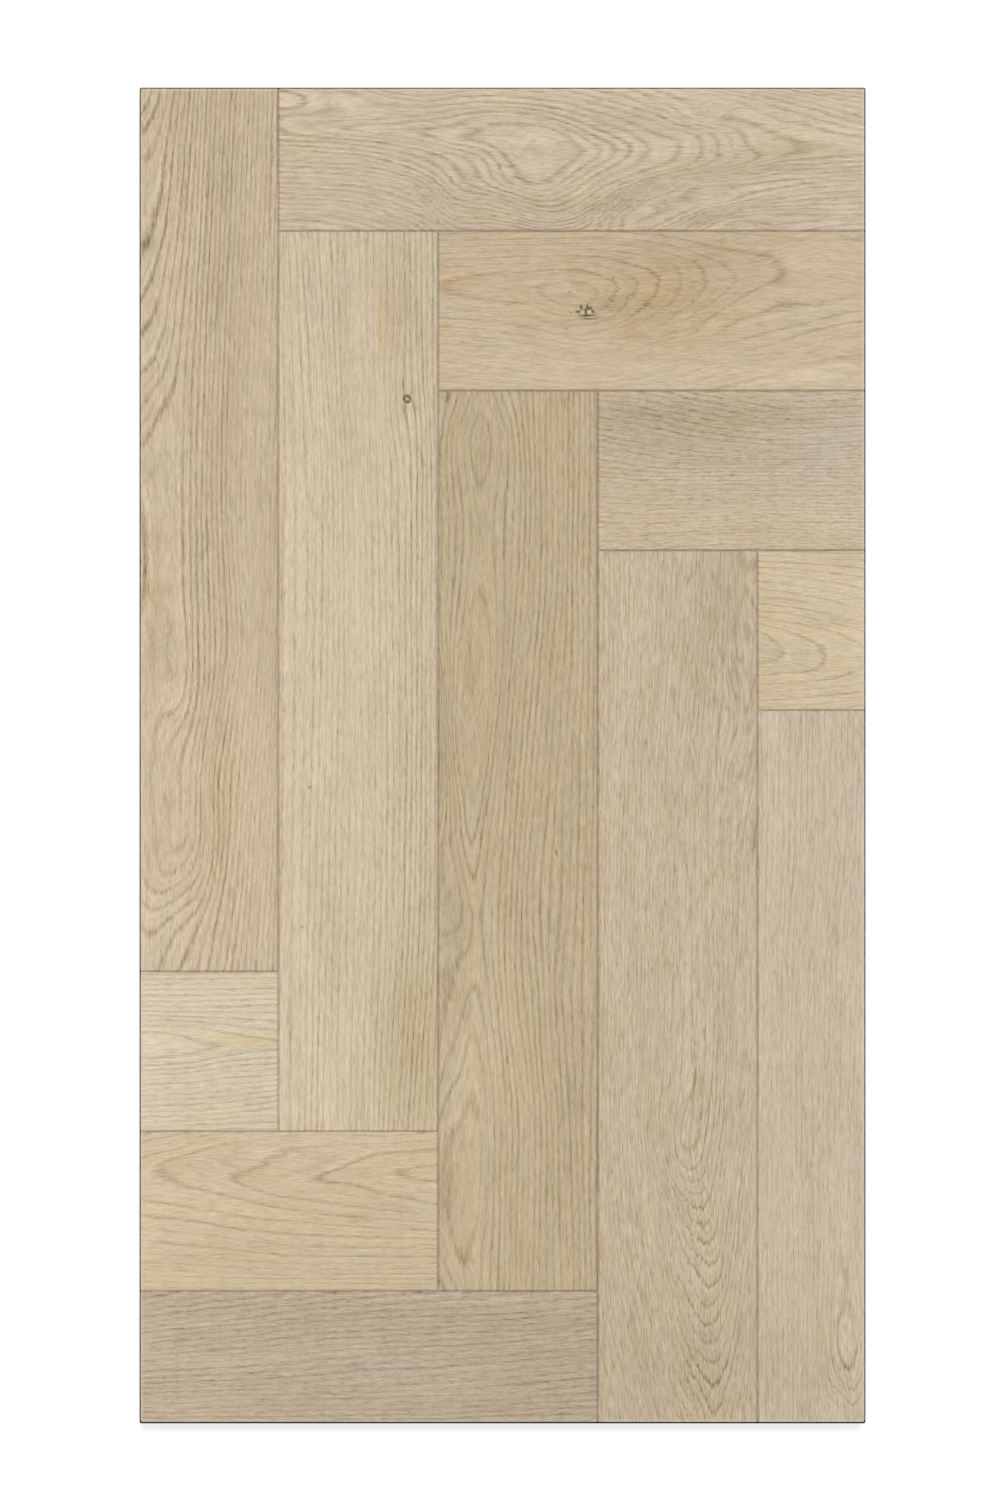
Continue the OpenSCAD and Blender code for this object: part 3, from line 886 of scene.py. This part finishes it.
BAND_START = 0.30         # width of a ring's dark line in close rings
BAND_GROWTH = 0.10        # and its growth with their spacing
BAND_MOST = 1.3
BAND_AFTER = 0.75         # the line fades more slowly after the ring than before it
BAND_BEFORE = 1.25
WIDE_REACH = 2.6          # reach of the open, porous wood, in line widths
HIGHLIGHT_PLACE = 2.3               # place of the painted highlight after the line, in line widths
HALF_PLACE = 0.52         # place of the faint line between two rings, and its width
HALF_REACH = 0.8
HALF_YEARS = (0.45, -0.35)    # years with a faint line between: none above, full below
YEAR_RANGE = (-0.6, 0.6)      # how strong a year's ring is: weakest below, strongest above
YEAR_WEAKEST = 0.5
YEAR_SPREAD = 0.7
PIECES_RANGE = (-0.35, 0.3)   # a ring is broken into pieces, and keeps a share where it is broken
BROKEN = 0.35
PORES_RANGE = (0.05, 0.5)
LONG_PORES_RANGE = (0.12, 0.6)
THREAD_REACH = 0.12
POROUS_RINGS = 0.75           # pores are most in a ring's open wood, and few elsewhere
POROUS_ELSEWHERE = 0.35

BAND_DARK = 0.14          # how much each detail darkens the oak
# painted highlight: how much the pale band after each ring lightens the oak
PAINTED_HIGHLIGHT = 0.05
HALF_DARK = 0.06
WIDE_DARK = 0.025
STREAK_DARK = 0.014
BROAD_DARK = 0.028
ALL_DARK = -0.065

GAMMA = 2.2
DARKENING = (-1.0, -1.11, -1.35)   # a dark grain line loses more blue than red
WARMING = (0.5, -0.12, -1.1)
BLUSHING = (0.35, -0.45, 0.25)
WARM = 0.010
WARM_SPECKS = 0.014
BLUSH = 0.011
KNOT_BROWN = (0.36, 0.29, 0.22)
KNOT_COVER = 1.6

ROUGH = 0.58              # matt oil, rougher in the dark open wood
ROUGH_DARK = 0.6
OIL_IOR = 1.45
OIL_SPECULAR = 0.4
PORE_RELIEF = -0.5
FINE_RELIEF = -0.3
RELIEF_STRENGTH = 0.55
RELIEF_HEIGHT = 0.00012   # metres


class Wood:
    """Where a point of a block lies: in the panel, and across, along and below its grain."""

    def __init__(self, lengthwise, seed):
        self.seed = seed
        place = Value(tree.nodes.new("ShaderNodeTexCoord").outputs["Object"])
        self.spot = vector("MULTIPLY_ADD", place, (1000.0, -1000.0, 1000.0), (PANEL_W / 2, PANEL_L / 2, 0.0))
        self.x, self.y, up = apart(self.spot)
        self.below = THICK - up
        straight, self.along = (self.x, self.y) if lengthwise else (self.y, self.x)
        self.across = straight + self.below * LEAN
        self.plain = joined(self.across, self.along, self.below)

    def noise(self, name, where=None):
        return noise(name, where or self.plain, self.seed)

    def follow(self, side, pitch):
        """Fibres follow the block's length and the rings a little, threads mostly the rings."""
        flow = self.across * (1 - FOLLOW) + side * (FOLLOW * pitch)
        self.fibres = joined(flow, self.along, self.below)
        self.grown = joined(self.across * GROWN_ACROSS + side * (GROWN_SIDE * pitch), self.along, self.below)


def hill(where, centre, reach):
    """A soft hill of height 1, centred in the panel's millimetres."""
    size = (1 / reach[0], 1 / reach[1], 0)
    shift = (-centre[0] / reach[0], -centre[1] / reach[1], 0)
    scaled = vector("MULTIPLY_ADD", where, size, shift)
    return number("EXPONENT", -vector("DOT_PRODUCT", scaled, scaled))


def patches(wood, listed):
    """The sum of soft patches, each given as centre, reach and amount."""
    return total(hill(wood.spot, centre, reach) * amount for centre, reach, amount in listed)


def dash(where, centre, length, width, angle):
    """A short dark mark, soft at its edges."""
    turn = math.radians(angle)
    shifted = vector("SUBTRACT", where, (*centre, 0.0))
    lengthways = vector("DOT_PRODUCT", shifted, (math.cos(turn) / length, math.sin(turn) / length, 0.0))
    sideways = vector("DOT_PRODUCT", shifted, (-math.sin(turn) / width, math.cos(turn) / width, 0.0))
    return number("EXPONENT", -(lengthways * lengthways + sideways * sideways))


def ring_mark(where, centre, radius, width):
    """A small dark ring, such as a knot's edge."""
    shifted = vector("MULTIPLY_ADD", where, (1.0, 1.0, 0.0), (-centre[0], -centre[1], 0.0))
    off = number("SQRT", vector("DOT_PRODUCT", shifted, shifted))
    return fall(off - radius, width)


def ring_count(wood, grain, look):
    """The rings counted from the heart, the count to one side alone, and the rings' spacing."""
    # Each bundle of fibres slips a little along its neighbour, so a ring that crosses them is jagged
    slip = wood.noise("bundle") * BUNDLE_SLIP + wood.noise("sheaf") * SHEAF_SLIP
    along = wood.along + slip * look["jag"]
    sides = grain.factors(grain.side_weights, SIDE_NEARNESS)
    gaps = grain.factors(grain.gap_weights, GAP_NEARNESS)
    over = curves(wood.across, grain.spans[0], np.hstack([sides[0], gaps[0]]))
    down = curves(along, grain.spans[1], np.hstack([sides[1], gaps[1]]))
    shared = sides[0].shape[1] // CURVES_A_NODE
    side = product_sum(over[:shared], down[:shared])
    gap = number("MAXIMUM", product_sum(over[shared:], down[shared:]), LEAST_GAP)
    if not look["depth"]:
        return side, side, gap
    deep = curves(along, grain.spans[1], grain.depth_curve())[0]
    depth = vector("DOT_PRODUCT", deep, (1.0, 0.0, 0.0))
    return number("SQRT", side * side + depth * depth), side, gap


def ring_tone(wood, look, count, gap):
    """The rings' darkness, less a painted highlight just after each ring, and how open the wood is near
    them.
    """
    waver = wood.noise("long_waver") * LONG_WAVER + wood.noise("short_waver") * SHORT_WAVER
    rings = count + waver * look["waver"] / gap
    after = number("FRACT", rings) * gap
    before = gap - after
    year = number("FLOOR", rings + 0.5)
    each = wood.noise("year", joined(year, wood.along, wood.across))
    strength = rise(each, *YEAR_RANGE) * YEAR_SPREAD + YEAR_WEAKEST

    # A ring's dark early wood, with soft shoulders that widen with the spacing
    width = number("MINIMUM", gap * BAND_GROWTH + BAND_START, BAND_MOST) * look["line"]
    nearest = number("MINIMUM", after * BAND_AFTER, before * BAND_BEFORE) / width
    band = fall(nearest)
    wide = fall(nearest, WIDE_REACH)
    # Painted highlight: a pale band just after each ring's dark line, standing in for light caught on a
    # grooved ring's edge
    painted_highlight = fall(after * BAND_AFTER / width - HIGHLIGHT_PLACE)
    half = fall((after - gap * HALF_PLACE) / width, HALF_REACH) * rise(each, *HALF_YEARS)

    pieces = rise(wood.noise("pieces"), *PIECES_RANGE) * BROKEN + (1 - BROKEN)
    shown = strength * look["contrast"] * pieces * (1 - patches(wood, look["calm"]))
    tone = band * BAND_DARK - painted_highlight * PAINTED_HIGHLIGHT + half * HALF_DARK + wide * WIDE_DARK
    return tone * shown, wide * POROUS_RINGS * shown + POROUS_ELSEWHERE


def oak_dark(wood, look, rings, porous):
    """How dark the oak is, and its relief."""
    pores = rise(wood.noise("pores", wood.fibres), *PORES_RANGE)
    long_pores = rise(wood.noise("long_pores", wood.fibres), *LONG_PORES_RANGE)
    fine = wood.noise("fine", wood.fibres)
    thread = fall(wood.noise("thread", wood.grown), THREAD_REACH)
    dark = (
        rings
        + (pores + long_pores) * porous * look["pores"]
        + fine * look["fine"]
        + thread * look["thread"]
        + wood.noise("streak", wood.grown) * STREAK_DARK
        + wood.noise("broad") * BROAD_DARK
        + ALL_DARK
        # Soft patches: the oak's tone, and in part painted shade where they follow the light across a block
        + patches(wood, look["shade"])
    )
    return dark, long_pores * PORE_RELIEF + fine * FINE_RELIEF


def oak_colour(wood, look, dark):
    """The oak's colour as it looks, with its warmer and pinker zones and its knots."""
    loss = vector("MULTIPLY_ADD", dark, DARKENING, (1.0, 1.0, 1.0))
    colour = vector("MULTIPLY", loss, tuple(c / 255 for c in look["tone"]))
    warm = wood.noise("warm") * WARM + wood.noise("warm_specks", wood.fibres) * WARM_SPECKS
    colour = vector("MULTIPLY_ADD", warm + patches(wood, look["warm"]), WARMING, colour)
    colour = vector("MULTIPLY_ADD", wood.noise("blush", wood.grown) * BLUSH, BLUSHING, colour)
    marks = [dash(wood.spot, *shape) * amount for *shape, amount in look["dashes"]]
    marks += [ring_mark(wood.spot, *shape) * amount for *shape, amount in look["rings"]]
    return mixed(colour, KNOT_BROWN, number("MINIMUM", total(marks) * KNOT_COVER, 1.0))


# ---------------------------------------------------------------- bevels, seams and the painted rim

BEVEL_TINT = (0.985, 0.985, 1.03)
BEVEL_STARTS = (0.03, 0.22)      # depths between which the bevel's tint sets in
JOINT_TINT = (0.82, 0.845, 0.82)
JOINT_STARTS = 0.7               # the seam's darkening sets in at this share of the bevel's depth
RIM_PALE = (0.82, 0.775, 0.73)
RIM_PALE_PLACE = 1.7             # the paler strip's place inside the rim, and its reach
RIM_PALE_REACH = 0.8
RIM_PALE_SHARE = 0.5
RAGGED = 0.12                    # how ragged the paint's edge is
RAGGED_PALE = 2
RIM_PAINT = (0.25, 0.24, 0.225)
PAINT_REACH = 1.0                # how far the paint comes in from the sides, and its soft edge
PAINT_EDGE = 0.22
LOWER_SHADE_REACH = 0.4                # painted shade: the lower rim's paint is drawn wider and darker, as if the light from above left that edge in shadow
LOWER_PAINTED_SHADE = 0.45
LOWER_STARTS = (3.0, 1.8)
SEAM_END_STARTS = (0.8, BEVEL)   # paint fills the ends of the seams, at these depths
SEAM_END_STOPS = (BEVEL + 0.5, BEVEL + 0.1)
SEAM_END_DARK = 0.6
SCUFFS = (0.35, 0.75)
SCUFFED = 0.25
PAINT_ROUGH = 0.08
PAINT_SMOOTHING = 0.7


def seamed(wood, colour):
    """The colour with the bevels' greyer oil and the dark bottom of each seam."""
    bevelled = mixed(colour, vector("MULTIPLY", colour, BEVEL_TINT), rise(wood.below, *BEVEL_STARTS))
    seam = rise(wood.below, BEVEL * JOINT_STARTS, BEVEL)
    return mixed(bevelled, vector("MULTIPLY", bevelled, JOINT_TINT), seam)


def from_rim(wood):
    """How far a point lies inside the panel's rounded outline."""
    fold_x = number("ABSOLUTE", wood.x - PANEL_W / 2) - (PANEL_W / 2 - CORNER_R)
    fold_y = number("ABSOLUTE", wood.y - PANEL_L / 2) - (PANEL_L / 2 - CORNER_R)
    out_x = number("MAXIMUM", fold_x, 0.0)
    out_y = number("MAXIMUM", fold_y, 0.0)
    corner = number("SQRT", out_x * out_x + out_y * out_y)
    return CORNER_R - corner - number("MINIMUM", number("MAXIMUM", fold_x, fold_y), 0.0)


def rimmed(wood, colour, rough, relief):
    """The paint round the panel's rim, with a paler strip inside it, and painted shade that draws the lower
    rim's paint wider and darker.
    """
    inside = from_rim(wood)
    ragged = wood.noise("ragged", wood.spot) * RAGGED
    strip = fall(inside - RIM_PALE_PLACE, RIM_PALE_REACH) * (ragged * RAGGED_PALE + RIM_PALE_SHARE)
    # Painted shade: the lower rim's paint is widened and darkened; the seams' ends get darker paint as well
    lower_shaded = rise(wood.y, *(PANEL_L - start for start in LOWER_STARTS))
    paint = rise(ragged + PAINT_REACH + lower_shaded * LOWER_SHADE_REACH - inside, 0.0, PAINT_EDGE)
    filled = rise(wood.below, *SEAM_END_STARTS) * rise(wood.below, *SEAM_END_STOPS)
    shade = (1 - filled * SEAM_END_DARK) * (1 - lower_shaded * LOWER_PAINTED_SHADE)
    painted = vector("MULTIPLY", joined(shade, shade, shade), RIM_PAINT)
    worn = paint * (1 - rise(wood.noise("scuffed", wood.spot), *SCUFFS) * SCUFFED)
    colour = mixed(mixed(colour, RIM_PALE, strip), painted, worn)
    return colour, rough + paint * PAINT_ROUGH, relief * (1 - paint * PAINT_SMOOTHING)


def new_material(name):
    """A plain material, whose nodes the sums above are then written in."""
    global tree
    material = bpy.data.materials.new(name)
    material.use_nodes = True
    tree = material.node_tree
    return material, tree.nodes["Principled BSDF"]


def oak(name, look):
    """One block's oak: rings with a painted highlight after each, pores, fibres, patches of tone and painted
    shade, and knots, its bevels and its painted rim with painted shade on its lower side.
    """
    material, shader = new_material("oak_" + name)
    lengthwise = name.startswith("lengthwise")
    wood = Wood(lengthwise, look["seed"])
    count, side, gap = ring_count(wood, Grain(look, lengthwise), look)
    wood.follow(side, look["pitch"])
    dark, relief = oak_dark(wood, look, *ring_tone(wood, look, count, gap))
    colour = seamed(wood, oak_colour(wood, look, dark))
    colour, rough, relief = rimmed(wood, colour, dark * ROUGH_DARK + ROUGH, relief)

    # The colour was mixed as it looks, and is turned into the renderer's light here
    light_of = tree.nodes.new("ShaderNodeGamma")
    light_of.inputs["Gamma"].default_value = GAMMA
    give(light_of.inputs["Color"], colour)
    give(shader.inputs["Base Color"], Value(light_of.outputs[0]))
    give(shader.inputs["Roughness"], rough)
    shader.inputs["IOR"].default_value = OIL_IOR
    shader.inputs["Specular IOR Level"].default_value = OIL_SPECULAR
    bumped = tree.nodes.new("ShaderNodeBump")
    bumped.inputs["Strength"].default_value = RELIEF_STRENGTH
    bumped.inputs["Distance"].default_value = RELIEF_HEIGHT
    give(bumped.inputs["Height"], relief)
    give(shader.inputs["Normal"], Value(bumped.outputs[0]))
    return material


# ---------------------------------------------------------------- the picture

TABLE_HALF = 6.0          # metres
TABLE_DROP = 0.0003       # keeps the table clear of the panel's underside
TABLE_GREY = (0.5, 0.5, 0.5, 1)
TABLE_ROUGH = 0.6
TABLE_SPECULAR = 0.2
WHITE = (1, 1, 1, 1)
ROOM_LIGHT = 0.62
SUN_LIGHT = 1.5
SUN_SOFTNESS = math.radians(18)
SUN_FROM = Vector((0.09, 0.5, 0.86))
LENS = 85.0
SENSOR = 36.0
CAMERA_AT = (-0.00175, 0.0038, THICK / 1000 + 2.4385)


def table_top():
    """A white table, whose paint is brightened for the camera alone, so it keeps a soft shadow."""
    mesh = bpy.data.meshes.new("table_top")
    low = cad_box[0][2] - TABLE_DROP
    corners = [(x * TABLE_HALF, y * TABLE_HALF, low) for x, y in ((-1, -1), (1, -1), (1, 1), (-1, 1))]
    mesh.from_pydata(corners, [], [range(4)])
    table = bpy.data.objects.new("table_top", mesh)
    bpy.context.scene.collection.objects.link(table)
    material, shader = new_material("white_table")
    shader.inputs["Base Color"].default_value = TABLE_GREY
    shader.inputs["Roughness"].default_value = TABLE_ROUGH
    shader.inputs["Specular IOR Level"].default_value = TABLE_SPECULAR
    shader.inputs["Emission Color"].default_value = WHITE
    path = tree.nodes.new("ShaderNodeLightPath")
    seen = number("MAXIMUM", Value(path.outputs["Is Camera Ray"]), Value(path.outputs["Is Glossy Ray"]))
    give(shader.inputs["Emission Strength"], seen * ROOM_LIGHT)
    mesh.materials.append(material)


def light():
    """An even white room, and a soft light from above the picture's upper right."""
    world = bpy.data.worlds.new("studio")
    bpy.context.scene.world = world
    world.use_nodes = True
    backdrop = world.node_tree.nodes["Background"]
    backdrop.inputs["Color"].default_value = WHITE
    backdrop.inputs["Strength"].default_value = ROOM_LIGHT
    lamp = bpy.data.lights.new("window", "SUN")
    lamp.energy = SUN_LIGHT
    lamp.angle = SUN_SOFTNESS
    sun = bpy.data.objects.new("window", lamp)
    sun.rotation_euler = SUN_FROM.to_track_quat("Z", "Y").to_euler()
    bpy.context.scene.collection.objects.link(sun)


def camera():
    """Straight above, a little off the panel's middle, as the photograph frames it."""
    data = bpy.data.cameras.new("camera")
    data.lens = LENS
    data.sensor_width = SENSOR
    seen = bpy.data.objects.new("camera", data)
    seen.location = CAMERA_AT
    bpy.context.scene.collection.objects.link(seen)
    bpy.context.scene.camera = seen


bpy.context.scene.view_settings.view_transform = "Standard"
camera()
table_top()
light()
for block_name, own_look in BLOCKS.items():
    dressed = oak(block_name, USUAL | own_look)
    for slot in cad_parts[block_name].material_slots:
        slot.material = dressed
